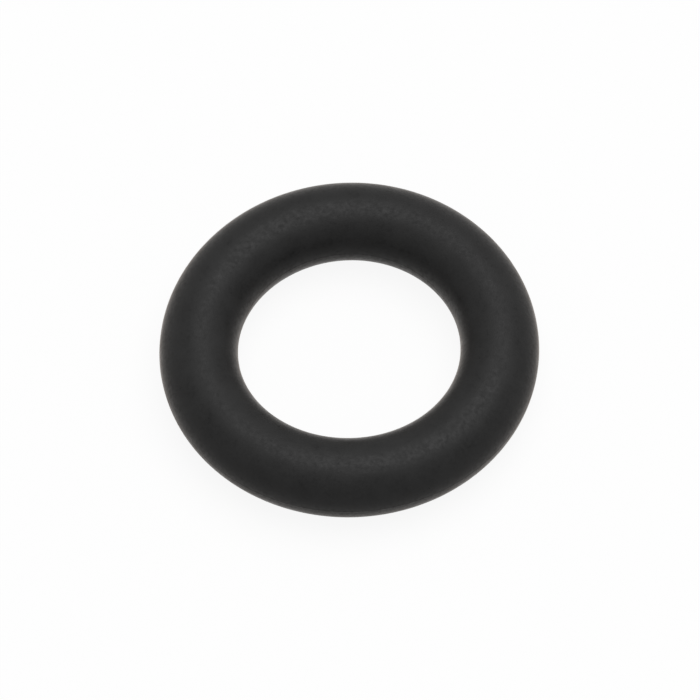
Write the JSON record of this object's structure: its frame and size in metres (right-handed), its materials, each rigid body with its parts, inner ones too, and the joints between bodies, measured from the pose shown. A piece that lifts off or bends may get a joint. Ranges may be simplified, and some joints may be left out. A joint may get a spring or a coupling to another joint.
{
  "type": "rubber o-ring",
  "caption": "Black moulded rubber o-ring of round section, used as a seal between two parts.",
  "frame": {"origin": "centre of the ring, on the plane of its mould parting line", "axes": "+Z along the ring's axis, up as the ring lies flat; X and Y are any two directions across the ring"},
  "size_m": [0.026, 0.026, 0.0054],
  "materials": {
    "nitrile_rubber": "matt moulded black"
  },
  "bodies": {
    "root": {"o_ring": "nitrile_rubber"}
  },
  "joints": []
}
